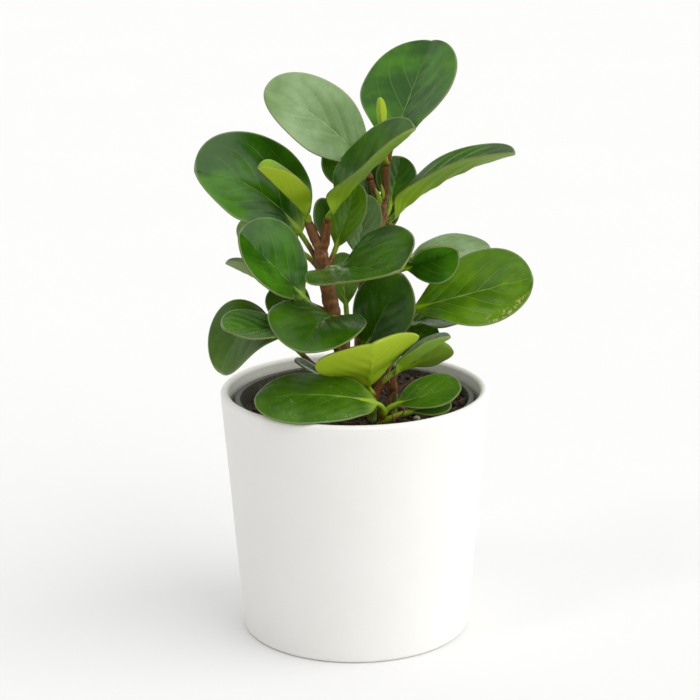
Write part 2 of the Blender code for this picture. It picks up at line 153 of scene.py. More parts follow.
# stem, height where the petiole leaves it, blade base, blade tip, width, roll about the midrib
LEAVES = {
    "leaf_top_right": leaf("stem_back", TIP, (20, 13, 254), (42, 54, 303), 55, -3,
        fold=(14, 14), widest=0.5),
    "leaf_top_left": leaf("stem_back", TIP, (7, 12, 243), (-44, 2, 286), 41, -54, bow=4,
        fold=(5, 15), widest=0.53, sweep=-3),
    "leaf_centre_upper": leaf("stem_front", TIP, (-12, -12, 224), (31, -31, 271), 48, 26,
        bow=1, fold=(22, 28), widest=0.42, square=2.6),
    "leaf_young_front": leaf("stem_front", TIP, (-23, -9, 223), (-47, -24, 251), 30, -5,
        fold=(35, 50), widest=0.5),
    "leaf_upper_left": leaf("stem_front", 190, (-27, 0, 212), (-80, -7, 246), 58, -60,
        fold=(32, 0), widest=0.48, sweep=-8, square=2.3, full=0.75),
    "leaf_behind_left": leaf("stem_front", 180, (-28, 4, 202), (-58, 15, 216), 36, -25),
    "leaf_middle_left": leaf("stem_front", 168, (-25, -17, 182), (-57, -32, 220), 43, -65,
        fold=(28, 12), full=0.9),
    "leaf_far_left": leaf("stem_front", 170, (-29, 0, 178), (-66, 4, 196), 30, 10,
        fold=(25, 25)),
    "leaf_centre_level": leaf("stem_front", 190, (-12, -14, 197), (23, -67, 208), 60, 8,
        fold=(30, 0), widest=0.43),
    "leaf_inner_upright": leaf("stem_front", 194, (-9, 1, 204), (3, 0, 238), 20, 74),
    "leaf_inner_pale": leaf("stem_back", 194, (2, 3, 199), (8, 5, 231), 23, 53,
        fold=(15, 15)),
    "leaf_back_right": leaf("stem_back", 211, (19, 19, 222), (25, 26, 247), 22, 40),
    "leaf_long_right": leaf("stem_right", TIP, (19, 3, 218), (81, -20, 256), 42, 20,
        bow=5, fold=(10, 38), widest=0.46),
    "leaf_cupped_right": leaf("stem_right", 186, (26, -12, 196), (53, -20, 207), 27, 95,
        fold=(50, 25)),
    "leaf_slim_right": leaf("stem_right", 188, (28, 14, 195), (72, 19, 199), 34, 12),
    "leaf_big_right": leaf("stem_right", 158, (30, -6, 173), (91, -18, 192), 43, 52,
        widest=0.62, square=2.3),
    "leaf_under_right": leaf("stem_right", 154, (27, 9, 161), (60, 13, 166), 34, 12),
    "leaf_dark_centre": leaf("stem_right", 136, (5, -9, 152), (25, -24, 196), 34, 100),
    "leaf_behind_stem": leaf("stem_front", 140, (-4, 6, 172), (-6, 9, 200), 17, -28),
    "leaf_grey_left": leaf("stem_front", 156, (-22, 2, 166), (-44, 8, 180), 26, -40),
    "leaf_drooping_left": leaf("stem_front", 122, (-35, -7, 158), (-68, -28, 146), 42, -16,
        bow=18, fold=(8, 12), widest=0.48),
    "leaf_low_left": leaf("stem_front", 140, (-31, -37, 170), (-65, -52, 176), 32, -15),
    "leaf_front_centre": leaf("stem_front", 158, (-8, -15, 171), (-27, -62, 166), 51, -8,
        bow=6),
    "leaf_front_rim": leaf("shoot_rim", TIP, (11, -41, 133), (-50, -51, 138), 37, -39,
        bow=6, fold=(5, -18), full=0.6),
    "leaf_lime_underside": leaf("shoot_front", TIP, (7, -24, 138), (9, -58, 169), 56, 16),
    "leaf_striped": leaf("shoot_front", 128, (19, -19, 142), (49, -24, 163), 26, 10,
        fold=(10, 40)),
    "leaf_low_right": leaf("shoot_right", TIP, (25, -1, 140), (51, -4, 151), 28, -42),
    "leaf_grey_right": leaf("shoot_right", 126, (23, 10, 144), (42, 19, 159), 24, 40),
    "leaf_small_right": leaf("shoot_rim", 122, (20, -34, 130), (54, -34, 140), 25, 27),
    "leaf_under_small": leaf("shoot_rim", 120, (28, -39, 128), (49, -36, 131), 14, 30),
    "leaf_inner_low": leaf("stem_front", 128, (-12, -17, 138), (-30, -28, 152), 14, -20),
    "leaf_behind_top": leaf("stem_back", 218, (-1, 16, 228), (-7, 24, 256), 26, -20),
    "leaf_between_forks": leaf("stem_back", 210, (8, 19, 222), (6, 30, 250), 20, 0),
    "leaf_hanging": leaf("stem_back", 200, (16, 21, 206), (19, 26, 227), 14, 30),
    "leaf_between_petioles": leaf("stem_front", 188, (-15, 9, 206), (-16, 13, 228), 14, 20),
    "bud_top": leaf("stem_back", 245, (15, 8, 260), (14, 5, 281), 7, 0, fold=(40, 40)),
}

# Stem skins: name, dark, light, roughness, slot and the stems that have it
BARKS = [
    ("stem_skin", (0.085, 0.028, 0.004), (0.220, 0.082, 0.012), 0.5, "stem",
     ("stem_front", "stem_back", "stem_right")),
    ("shoot_skin", (0.140, 0.130, 0.020), (0.200, 0.290, 0.030), 0.42, "stem",
     ("shoot_front", "shoot_right", "shoot_rim")),
    ("dead_skin", (0.060, 0.026, 0.012), (0.210, 0.085, 0.028), 0.8, "dead_stem",
     ("dead_shoot", "dry_curl")),
]

# Soil finishes, for its body, crumbs, chips and fibres: name, dark, light, grains in a millimetre
SOILS = [
    ("soil_damp", (0.006, 0.004, 0.002), (0.034, 0.020, 0.010), 0.8),
    ("soil_crumb", (0.014, 0.008, 0.003), (0.090, 0.048, 0.018), 0.6),
    ("soil_bark", (0.080, 0.032, 0.010), (0.280, 0.120, 0.036), 0.9),
    ("soil_fibre", (0.150, 0.070, 0.024), (0.380, 0.200, 0.080), 0.9),
]

# The leaves that have each of the LEAF_LOOKS, and how strongly their veins stand in relief
FINISHES = {
    "bright": {"leaf_top_right": 1.2, "leaf_upper_left": 0.8, "leaf_middle_left": 0.9,
        "leaf_cupped_right": 1.2},
    # Painted sheen: these leaves take greyish upper colours that stand for a bright sky's glancing
    # reflection
    "sheen_painted": {"leaf_top_left": 1.3, "leaf_inner_pale": 1.6, "leaf_slim_right": 1.4,
        "leaf_striped": 1.8},
    "deep": {"leaf_centre_upper": 1.3, "leaf_centre_level": 1.4, "leaf_long_right": 1.8,
        "leaf_dark_centre": 0.8},
    "young": {"leaf_young_front": 0.5, "leaf_lime_underside": 0.8, "bud_top": 0.2},
    # Leaves deep in the plant: their lighter greens are partly painted light on leaves that lie in
    # shade
    "fresh_and_lit": {"leaf_behind_left": 0.8, "leaf_inner_upright": 1.0, "leaf_behind_stem": 0.8,
        "leaf_low_right": 1.0},
    "dull": {"leaf_far_left": 1.0, "leaf_grey_left": 1.0, "leaf_drooping_left": 0.8},
    "scarred": {"leaf_big_right": 1.0},
    # Pale specks on these leaves: partly dust, partly painted glints of light
    "dusty_glinting": {"leaf_front_rim": 0.8, "leaf_small_right": 0.8, "leaf_under_small": 0.8},
}
USUAL_FINISH = ("deep", 1.0)
YOUNG = ("leaf_young_front", "leaf_lime_underside", "bud_top")

RED_FROM = 0.25              # where on a petiole the red starts, as a share of its length
RED_OVER = 0.35              # and the share over which it comes


def leaf_look(dark, light, under, vein, rough, turn=RED_FROM, dust=0.0, scars=False):
    """A leaf's colours: upper side dark and light, under side and veins; then its roughness."""
    return dict(dark=dark, light=light, under=under, vein=vein, rough=rough, turn=turn,
                dust=dust, scars=scars)


LEAF_LOOKS = {
    "deep": leaf_look((0.022, 0.078, 0.001), (0.050, 0.150, 0.002),
        (0.160, 0.280, 0.020), (0.110, 0.240, 0.020), 0.26),
    "bright": leaf_look((0.018, 0.082, 0.001), (0.052, 0.185, 0.002),
        (0.200, 0.350, 0.016), (0.190, 0.360, 0.030), 0.22),
    # Lighter greens, partly painted light: raised so that leaves in shade deep in the plant come
    # out bright
    "fresh_and_lit": leaf_look((0.065, 0.170, 0.003), (0.125, 0.280, 0.008),
        (0.210, 0.360, 0.025), (0.230, 0.400, 0.060), 0.26),
    # Painted sheen: greyish upper and vein colours that stand for a bright sky's glancing
    # reflection off the wax
    "sheen_painted": leaf_look((0.120, 0.225, 0.060), (0.225, 0.340, 0.150),
        (0.210, 0.360, 0.040), (0.380, 0.480, 0.300), 0.28),
    "young": leaf_look((0.150, 0.290, 0.002), (0.240, 0.420, 0.005),
        (0.390, 0.530, 0.022), (0.420, 0.580, 0.050), 0.32, turn=0.8),
    "dull": leaf_look((0.040, 0.100, 0.004), (0.075, 0.160, 0.010),
        (0.180, 0.260, 0.060), (0.120, 0.240, 0.030), 0.36),
    # Pale specks: partly dust and lime scale, partly painted glints of light
    "dusty_glinting": leaf_look((0.032, 0.100, 0.001), (0.068, 0.175, 0.004),
        (0.160, 0.280, 0.025), (0.140, 0.270, 0.040), 0.34, dust=1.0, turn=0.75),
    # Its light green is partly painted sheen, raised to stand for the pale sheen on that leaf
    "scarred": leaf_look((0.055, 0.150, 0.002), (0.120, 0.260, 0.005),
        (0.210, 0.370, 0.020), (0.330, 0.480, 0.120), 0.24, scars=True),
}

# Buds in the forks: name, foot, tip and half thickness
GROWING_TIPS = [
    ("bud_in_back_fork", (15, 10, 222), (11.5, 7.5, 234), 1.5),
    ("bud_beside_back_fork", (16, 10, 226), (14.5, 9, 236), 1.0),
    ("bud_in_front_fork", (-17, -6, 205), (-18.5, -7, 213), 1.1),
]
TIP_RINGS = 14
TIP_SIDES = 20
MARGIN_BROWN = (0.110, 0.055, 0.030)
# Pale band along the margin: partly the margin's own pale edge, partly a painted highlight on its
# rounded rim
MARGIN_PALE_AND_HIGHLIGHT = (0.280, 0.360, 0.150)
LIME = (0.250, 0.400, 0.008)
RED_BROWN = (0.165, 0.055, 0.008)
# Colour of the pale specks: dust and lime scale, and partly painted glints of light
DUST_AND_GLINT = (0.520, 0.560, 0.480)
STRAW = (0.560, 0.480, 0.230)
LEAF_SHINE = 0.30
LEAF_GRAIN = 0.12            # depth of the fine bump, in millimetres
VEIN_TINT = 0.3              # how strongly the lateral veins take their own colour
UNDER_ROUGH = 0.47
UV_SHRINK = 10.0             # UV maps hold millimetres divided by this


# ---- node graphs

MIX_FIRST, MIX_SECOND, MIX_RESULT = 6, 7, 2  # a Mix node's colour sockets


class Graph:
    """Short calls that build one material's nodes."""

    def __init__(self, name, roughness=0.5):
        self.material = bpy.data.materials.new(name)
        self.material.use_nodes = True
        self.tree = self.material.node_tree
        self.shader = self.tree.nodes["Principled BSDF"]
        self.shader.inputs["Roughness"].default_value = roughness
        place = self.tree.nodes.new("ShaderNodeTexCoord").outputs["Object"]
        self.place = self.scaled(place, (1 / MM, 1 / MM, 1 / MM))

    def scaled(self, vector, scale):
        """A vector stretched along its axes."""
        node = self.tree.nodes.new("ShaderNodeMapping")
        node.inputs["Scale"].default_value = scale
        self.tree.links.new(vector, node.inputs["Vector"])
        return node.outputs["Vector"]

    def put(self, value, socket):
        """A link into a socket, or a constant on it."""
        if isinstance(value, bpy.types.NodeSocket):
            self.tree.links.new(value, socket)
        elif isinstance(value, tuple):
            socket.default_value = (*value, 1)
        else:
            socket.default_value = value

    def math(self, operation, first, second=0.0, third=0.0, clamp=False):
        """One Math node."""
        node = self.tree.nodes.new("ShaderNodeMath")
        node.operation = operation
        node.use_clamp = clamp
        for value, socket in zip((first, second, third), node.inputs):
            self.put(value, socket)
        return node.outputs[0]

    def step(self, value, low, high):
        """0 below low, 1 above high and smooth between; the other way round if high is lower."""
        node = self.tree.nodes.new("ShaderNodeMapRange")
        node.interpolation_type = "SMOOTHSTEP"
        self.put(value, node.inputs["Value"])
        turned_round = high < low
        node.inputs["From Min"].default_value = min(low, high)
        node.inputs["From Max"].default_value = max(low, high)
        node.inputs["To Min"].default_value = 1.0 if turned_round else 0.0
        node.inputs["To Max"].default_value = 0.0 if turned_round else 1.0
        return node.outputs["Result"]

    def mix(self, share, first, second, blend="MIX"):
        """A colour between two, by a share."""
        node = self.tree.nodes.new("ShaderNodeMix")
        node.data_type = "RGBA"
        node.blend_type = blend
        self.put(share, node.inputs["Factor"])
        self.put(first, node.inputs[MIX_FIRST])
        self.put(second, node.inputs[MIX_SECOND])
        return node.outputs[MIX_RESULT]

    def times(self, first, second, clamp=False):
        """Two values multiplied."""
        return self.math("MULTIPLY", first, second, clamp=clamp)

    def line(self, value, slope, start):
        """A value times a slope, from a start."""
        return self.math("MULTIPLY_ADD", value, slope, start)

    def cover(self, colour, other, mask, amount=1.0):
        """A colour covered by another where a mask is 1, by an amount."""
        if amount != 1.0:
            mask = self.times(mask, amount)
        return self.mix(mask, colour, other)

    def tint(self, colour, other):
        """A colour multiplied by another."""
        return self.mix(1.0, colour, other, "MULTIPLY")

    def noise(self, per_mm, detail=2.0, roughness=0.5, vector=None):
        """Noise with about this many features in a millimetre."""
        node = self.tree.nodes.new("ShaderNodeTexNoise")
        node.inputs["Scale"].default_value = per_mm
        node.inputs["Detail"].default_value = detail
        node.inputs["Roughness"].default_value = roughness
        self.put(vector or self.place, node.inputs["Vector"])
        return node.outputs["Fac"]

    def spots(self, per_mm, vector=None):
        """Distance to the nearest of many scattered points, in cells."""
        node = self.tree.nodes.new("ShaderNodeTexVoronoi")
        node.inputs["Scale"].default_value = per_mm
        self.put(vector or self.place, node.inputs["Vector"])
        return node.outputs["Distance"]

    def uv(self, name):
        """The two numbers of a UV map."""
        node = self.tree.nodes.new("ShaderNodeUVMap")
        node.uv_map = name
        split = self.tree.nodes.new("ShaderNodeSeparateXYZ")
        self.tree.links.new(node.outputs["UV"], split.inputs["Vector"])
        return split.outputs["X"], split.outputs["Y"]

    def bump(self, height, depth_mm, strength=1.0):
        """Bump of a given depth, from a height of 0 to 1."""
        node = self.tree.nodes.new("ShaderNodeBump")
        node.inputs["Distance"].default_value = depth_mm * MM
        node.inputs["Strength"].default_value = strength
        self.tree.links.new(height, node.inputs["Height"])
        self.tree.links.new(node.outputs["Normal"], self.shader.inputs["Normal"])

    def finish(self, colour, roughness=None):
        """The material, with its colour and roughness linked."""
        self.put(colour, self.shader.inputs["Base Color"])
        if roughness is not None:
            self.put(roughness, self.shader.inputs["Roughness"])
        return self.material


# ---- materials

def leaf_veins(graph, across, along):
    """Mask of the lateral veins."""
    signed = graph.line(across, 2.0, -1.0)
    out = graph.math("ABSOLUTE", signed)
    side = graph.math("GREATER_THAN", signed, 0.0)
    lean = graph.times(out, VEIN_LEAN)
    lean = graph.line(graph.math("POWER", out, 4.0), VEIN_ARCH, lean)
    phase = graph.math("SUBTRACT", along, lean)
    phase = graph.line(side, VEIN_SPACING / 2, phase)
    near = graph.math("PINGPONG", phase, VEIN_SPACING / 2)
    line = graph.step(near, 0.009, 0.002)
    fade = graph.times(graph.step(out, 1.0, 0.55), graph.step(along, 1.0, 0.6))
    return graph.times(line, fade)


def upper_colour(graph, look, veins, rib, margin, along):
    """Colour of a leaf's glossy upper side."""
    patch = graph.step(graph.noise(0.045, 3.0, 0.55), 0.35, 0.68)
    colour = graph.mix(patch, look["dark"], look["light"])
    cells = graph.line(graph.noise(1.6, 3.0, 0.7), 0.5, 0.75)
    colour = graph.tint(colour, grey(graph, cells))
    colour = graph.cover(colour, look["vein"], veins, VEIN_TINT)
    fading = graph.step(along, 1.05, 0.1)
    lime = graph.mix(graph.step(along, 0.5, 0.05), look["vein"], LIME)
    colour = graph.mix(graph.times(rib, fading), colour, lime)
    # pale band within a millimetre of the margin: partly its own pale edge, partly painted
    # highlight on the rounded rim
    pale = graph.times(graph.step(margin, 1.1, 0.5), 0.45)
    colour = graph.mix(pale, colour, MARGIN_PALE_AND_HIGHLIGHT)
    return colour


def grey(graph, value):
    """A value as a grey colour."""
    node = graph.tree.nodes.new("ShaderNodeCombineColor")
    for socket in node.inputs:
        graph.put(value, socket)
    return node.outputs["Color"]


def under_colour(graph, look, veins, rib, along):
    """Colour of a leaf's paler, matt under side."""
    grain = graph.noise(2.2, 3.0, 0.75)
    shade = graph.line(grain, 0.7, 0.65)
    colour = graph.tint(look["under"], grey(graph, shade))
    dim = graph.tint(look["under"], (0.7, 0.78, 0.7))
    colour = graph.cover(colour, dim, veins, 0.5)
    return graph.mix(graph.times(rib, graph.step(along, 0.9, 0.2)), colour, LIME)


def dusted_and_glinting(graph, colour, amount):
    """Pale specks of dust and lime scale, partly painted glints of light."""
    speck = graph.step(graph.spots(0.75), 0.16, 0.08)
    where = graph.step(graph.noise(0.12, 2.0), 0.45, 0.6)
    return graph.mix(graph.times(graph.times(speck, where), amount),
                     colour, DUST_AND_GLINT)


def scarred(graph, colour, across, along, margin):
    """Dry straw-coloured scars near the right margin, towards the tip."""
    zone = graph.times(graph.step(across, 0.3, 0.12), graph.step(along, 0.55, 0.66))
    zone = graph.times(zone, graph.step(along, 0.97, 0.9))
    zone = graph.times(zone, graph.step(margin, 0.5, 1.0))
    zone = graph.times(zone, graph.step(margin, 7.0, 3.5))
    cracks = graph.step(graph.noise(0.42, 5.0, 0.75), 0.53, 0.58)
    return graph.mix(graph.times(zone, cracks), colour, STRAW)


def leaf_surface(graph, look, upper, veins):
    """Fine grain and sunken veins in the bump; returns the roughness, glossy above only."""
    rough = graph.line(graph.noise(0.35, 3.0), 0.16, look["rough"] - 0.08)
    under_rough = graph.line(graph.noise(1.5, 2.0), 0.1, UNDER_ROUGH)
    mixed = graph.times(upper, graph.math("SUBTRACT", rough, under_rough))
    mixed = graph.math("ADD", under_rough, mixed)
    fine = graph.line(graph.noise(2.6, 3.0, 0.6), 0.35, 0.65)
    groove = graph.math("SUBTRACT", fine, graph.times(veins, 0.35))
    graph.bump(groove, LEAF_GRAIN, 0.6)
    graph.shader.inputs["Specular IOR Level"].default_value = LEAF_SHINE
    return mixed


def leaf_material(name, look):
    """Waxy leaf: veins, midrib, margin, matt under side and a petiole that reddens."""
    graph = Graph("leaf_" + name)
    across, along = graph.uv("blade")
    upper, margin = graph.uv("face")
    lateral, petiole = graph.uv("rib")
    margin = graph.times(margin, UV_SHRINK)
    lateral = graph.times(lateral, UV_SHRINK)
    veins = leaf_veins(graph, across, along)
    width = graph.line(along, -0.5, 0.75)
    rib = graph.step(graph.math("DIVIDE", lateral, width), 1.0, 0.45)
    above = upper_colour(graph, look, veins, rib, margin, along)
    if look["scars"]:
        above = scarred(graph, above, across, along, margin)
    colour = graph.mix(upper, under_colour(graph, look, veins, rib, along), above)
    spread = graph.line(upper, 0.34, along)
    base = graph.step(spread, 0.5, 0.3)
    colour = graph.cover(colour, LIME, base, 0.8)
    brown = graph.times(graph.step(margin, 0.3, 0.12), graph.noise(0.15, 2.0))
    brown = graph.times(brown, graph.step(along, 0.0, 0.08))
    colour = graph.mix(graph.times(brown, 1.1, clamp=True), colour, MARGIN_BROWN)
    if look["dust"]:
        colour = dusted_and_glinting(graph, colour, look["dust"])
    reddening = graph.math("ADD", petiole, graph.times(graph.noise(0.5, 3.0), 0.3))
    turn = look["turn"]
    colour = graph.mix(graph.step(reddening, turn, turn + RED_OVER), colour, RED_BROWN)
    return graph.finish(colour, leaf_surface(graph, look, upper, veins))


def bark_material(name, low, high, roughness):
    """Stem skin: streaks along the stem, pale flecks and paler rings at the nodes."""
    graph = Graph(name, roughness)
    ring, height = graph.uv("stem")
    streaks = graph.noise(0.9, 4.0, 0.65, graph.scaled(graph.place, (1.0, 1.0, 0.16)))
    colour = graph.mix(graph.step(streaks, 0.3, 0.72), low, high)
    patches = graph.step(graph.noise(0.13, 3.0, 0.6), 0.5, 0.72)
    dark = graph.tint(colour, (0.42, 0.36, 0.34))
    colour = graph.cover(colour, dark, patches, 0.75)
    flecks = graph.step(graph.spots(1.1, graph.scaled(graph.place, (1, 1, 0.6))), 0.2, 0.1)
    pale = graph.tint(high, (1.7, 1.9, 2.2))
    colour = graph.cover(colour, pale, flecks, 0.5)
    colour = graph.cover(colour, pale, ring, 0.45)
    graph.bump(graph.math("ADD", streaks, graph.times(flecks, 0.3)), 0.25)
    rough = graph.line(streaks, 0.25, roughness - 0.12)
    return graph.finish(colour, rough)


def ceramic_material():
    """Matt, slightly chalky white glaze with the faintest grain."""
    graph = Graph("pot_ceramic_matt")
    cloud = graph.noise(0.03, 3.0, 0.6)
    grain = graph.noise(1.4, 4.0, 0.7)
    colour = graph.mix(cloud, (0.800, 0.785, 0.755), (0.835, 0.825, 0.805))
    pits = graph.times(graph.step(graph.spots(0.55), 0.10, 0.05), 0.25)
    colour = graph.mix(pits, colour, (0.52, 0.49, 0.44))
    shade = graph.line(grain, 0.05, 0.975)
    colour = graph.tint(colour, grey(graph, shade))
    graph.bump(graph.math("SUBTRACT", grain, pits), 0.06, 0.7)
    return graph.finish(colour, graph.line(cloud, 0.14, 0.52))


def nursery_material():
    """Dull grey-green moulded plastic, scuffed and a little soiled."""
    graph = Graph("nursery_plastic_dull")
    scuff = graph.noise(0.5, 5.0, 0.7, graph.scaled(graph.place, (1, 1, 0.25)))
    colour = graph.mix(graph.step(scuff, 0.4, 0.7), (0.028, 0.028, 0.016), (0.075, 0.075, 0.045))
    dirt = graph.step(graph.noise(0.22, 4.0, 0.7), 0.52, 0.7)
    colour = graph.cover(colour, (0.070, 0.048, 0.028), dirt, 0.6)
    graph.bump(graph.noise(1.8, 3.0, 0.6), 0.08)
    return graph.finish(colour, graph.line(scuff, 0.25, 0.38))


def soil_material(name, dark, light, per_mm):
    """Damp crumbly potting soil."""
    graph = Graph(name, 0.9)
    crumb = graph.noise(per_mm, 5.0, 0.7)
    colour = graph.mix(graph.step(crumb, 0.34, 0.7), dark, light)
    fibre = graph.noise(0.7, 3.0, 0.7, graph.scaled(graph.place, (0.5, 1.6, 1.0)))
    colour = graph.mix(graph.times(graph.step(fibre, 0.6, 0.7), 0.5), colour,
                       (0.115, 0.058, 0.022))
    graph.bump(crumb, 0.6)
    return graph.finish(colour, graph.line(crumb, 0.3, 0.68))


def bead_material():
    """Pale waxy fertiliser bead with a mottled skin."""
    graph = Graph("fertiliser_bead", 0.45)
    mottle = graph.noise(1.1, 4.0, 0.65)
    colour = graph.mix(graph.step(mottle, 0.35, 0.65), (0.430, 0.350, 0.150),
                       (0.760, 0.730, 0.560))
    graph.bump(mottle, 0.15)
    return graph.finish(colour, graph.line(mottle, 0.3, 0.3))


def floor_material():
    """Plain pale studio floor."""
    graph = Graph("studio_floor", 0.85)
    cloud = graph.noise(0.004, 2.0)
    graph.shader.inputs["Specular IOR Level"].default_value = 0.0
    return graph.finish(graph.mix(cloud, (0.775, 0.775, 0.774), (0.785, 0.785, 0.784)))


# ---- meshes

def placed(name, data):
    """A new object in the scene."""
    made = bpy.data.objects.new(name, data)
    bpy.context.scene.collection.objects.link(made)
    return made


def in_scene(name, cells, finish=None, closed=True):
    """An object made of these cells; a closed one has its faces turned out, and a closed one with a
    finish is shaded smooth.
    """
    if closed:
        bmesh.ops.recalc_face_normals(cells, faces=cells.faces)
    mesh = bpy.data.meshes.new(name)
    cells.to_mesh(mesh)
    cells.free()
    if finish:
        mesh.materials.append(finish)
        if closed:
            mesh.shade_smooth()
    return placed(name, mesh)


def as_piece(name, cells, finish, slot, *nodes):
    """A mesh piece on the plant, standing for CAD nodes where it replaces some."""
    piece = in_scene(name, cells, finish)
    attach(piece, "root")
    if nodes:
        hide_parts(*nodes)
    return piece


def circle(centre, side, over, radius, count):
    """Points round a circle that lies along two directions."""
    turns = [2 * pi * k / count for k in range(count)]
    return [centre + side * radius * cos(a) + over * radius * sin(a) for a in turns]


def skin(cells, rings, close_start=True, close_end=True):
    """Quads between rings of points, with a fan to a middle point over each closed end."""
    rows = [[cells.verts.new(point * MM) for point in ring] for ring in rings]
    count = len(rows[0])
    for low, high in zip(rows, rows[1:]):
        for i in range(count):
            j = (i + 1) % count
            cells.faces.new((low[i], low[j], high[j], high[i]))
    for row, wanted in ((rows[0], close_start), (rows[-1], close_end)):
        if not wanted:
            continue
        middle = cells.verts.new(sum((v.co for v in row), Vector()) / count)
        for i in range(count):
            cells.faces.new((row[i], row[(i + 1) % count], middle))
    return rows


def ease(t):
    """Smooth step from 0 to 1."""
    t = min(1.0, max(0.0, t))
    return t * t * (3 - 2 * t)


# ---- pots

def arc(centre, radius, start, end, steps):
    """Points of a round edge in a profile, both ends included."""
    angles = [radians(start + (end - start) * i / steps) for i in range(steps + 1)]
    return [(centre[0] + radius * cos(a), centre[1] + radius * sin(a)) for a in angles]


def stretch(start, end, steps):
    """Points between two profile points, both left out."""
    return [(start[0] + (end[0] - start[0]) * i / steps, start[1] + (end[1] - start[1]) * i / steps)
            for i in range(1, steps)]


def turned(profile, wobble):
    """A closed turned shape from a profile whose two ends lie on the axis."""
    cells = bmesh.new()
    rings = []
    for radius, height in profile[1:-1]:
        ring = []
        for i in range(POT_SIDES):
            turn = 2 * pi * i / POT_SIDES
            way = Vector((cos(turn), sin(turn), 0))
            soft = noise.noise(way * 1.7 + UP * height * 0.02) * wobble
            ring.append(way * (radius + soft * min(1.0, radius / WOBBLE_FROM)) + UP * height)
        rings.append(ring)
    skin(cells, rings)
    return cells


def cover_pot():
    """The tapered white pot with its rounded lip and soft base edge."""
    taper = (POT_RIM_RADIUS - POT_BASE_RADIUS) / POT_HEIGHT
    lip = POT_WALL / 2
    lip_centre = (POT_RIM_RADIUS - lip - lip * taper, POT_HEIGHT - lip)
    inner_base = POT_BASE_RADIUS - POT_WALL + POT_FLOOR * taper
    inner_top = (lip_centre[0] - lip, lip_centre[1])
    corner = INSIDE_ROUND
    profile = [(0, POT_FLOOR)] + [(r, POT_FLOOR) for r in FLOOR_RINGS]
    profile += arc((inner_base - corner, POT_FLOOR + corner), corner, -90, 0, 6)
    profile += stretch((inner_base, POT_FLOOR + corner), inner_top, 24)
    profile += arc(lip_centre, lip, 180, 0, 16)
    outer_top = (lip_centre[0] + lip, lip_centre[1])
    profile += stretch(outer_top, (POT_BASE_RADIUS, POT_ROUND), 30)
    profile += arc((POT_BASE_RADIUS - POT_ROUND, POT_ROUND), POT_ROUND, 0, -90, 8)
    profile += [(r, 0) for r in reversed(FLOOR_RINGS)] + [(0, 0)]
    as_piece("pot_of_ceramic", turned(profile, 0.08), ceramic_material(), "pot_ceramic",
             "cover_pot")


def nursery_wall(height):
    """Outer radius of the nursery pot's wall at a height."""
    foot = POT_FLOOR + GAP
    top_radius = NURSERY_RIM_RADIUS - NURSERY_LIP[0]
    share = (height - foot) / (NURSERY_TOP - foot)
    return NURSERY_BASE_RADIUS + (top_radius - NURSERY_BASE_RADIUS) * share


def drain_cutter(turn):
    """A round cutter through the nursery pot's base."""
    cells = bmesh.new()
    place = Vector((DRAIN_CIRCLE * cos(turn), DRAIN_CIRCLE * sin(turn), POT_FLOOR + GAP))
    reach = 3 * NURSERY_WALL
    skin(cells, [circle(place + UP * lift, RIGHT, BACK, DRAIN_RADIUS, DRAIN_SIDES)
                 for lift in (-reach, reach)])
    return in_scene("drain_cutter", cells)


def apply_modifiers(piece, cutters):
    """The piece's mesh with its modifiers applied, and the cutters gone."""
    view = bpy.context.evaluated_depsgraph_get()
    made = bpy.data.meshes.new_from_object(piece.evaluated_get(view))
    piece.modifiers.clear()
    old = piece.data
    piece.data = made
    bpy.data.meshes.remove(old)
    for cutter in cutters:
        bpy.data.meshes.remove(cutter.data)


def nursery_pot():
    """The thin grower's pot inside the cover pot, with a rolled lip and drain holes."""
    foot = POT_FLOOR + GAP
    reach, depth = NURSERY_LIP
    rim = NURSERY_RIM_RADIUS
    inside = rim - reach - NURSERY_WALL
    under = NURSERY_TOP - depth
    r = LIP_ROUND
    floor = foot + NURSERY_WALL
    profile = [(0, floor), (20, floor), (NURSERY_BASE_RADIUS - NURSERY_WALL, floor)]
    profile += stretch(profile[-1], (inside, NURSERY_TOP), 20)
    profile += arc((inside + r, NURSERY_TOP - r), r, 180, 90, 5)
    profile += arc((rim - r, NURSERY_TOP - r), r, 90, 0, 5)
    profile += [(rim, under), (nursery_wall(under), under)]
    profile += stretch(profile[-1], (NURSERY_BASE_RADIUS, foot), 20)
    profile += [(NURSERY_BASE_RADIUS, foot), (20, foot), (0, foot)]
    piece = as_piece("pot_of_plastic", turned(profile, 0.25), nursery_material(),
                     "nursery_plastic", "nursery_pot")
    cutters = [drain_cutter(2 * pi * i / DRAIN_COUNT) for i in range(DRAIN_COUNT)]
    for cutter in cutters:
        cut = piece.modifiers.new("drain", "BOOLEAN")
        cut.operation = "DIFFERENCE"
        cut.object = cutter
    apply_modifiers(piece, cutters)


# ---- stems

def smooth_route(points, per_span=3):
    """Points on a Catmull-Rom curve through rows of numbers of any length."""
    rows = [points[0]] + list(points) + [points[-1]]
    route = []
    for i in range(1, len(rows) - 2):
        for j in range(per_span):
            t = j / per_span
            weights = (-0.5 * t + t * t - 0.5 * t ** 3, 1 - 2.5 * t * t + 1.5 * t ** 3,
                       0.5 * t + 2 * t * t - 1.5 * t ** 3, -0.5 * t * t + 0.5 * t ** 3)
            route.append(tuple(sum(w * rows[i - 1 + k][n] for k, w in enumerate(weights))
                               for n in range(len(points[0]))))
    return route + [tuple(points[-1])]


def stem_at(name, height, near):
    """Centre of a stem at a height, on its fork nearest to a point."""
    found = []
    for line in STEMS[name]:
        route = smooth_route(line)
        height_here = min(height, route[-1][2])
        for low, high in zip(route, route[1:]):
            if low[2] <= height_here <= high[2]:
                t = (height_here - low[2]) / (high[2] - low[2])
                found.append(Vector(low[:3]).lerp(Vector(high[:3]), t))
                break
    return min(found, key=lambda point: (point - near).length)


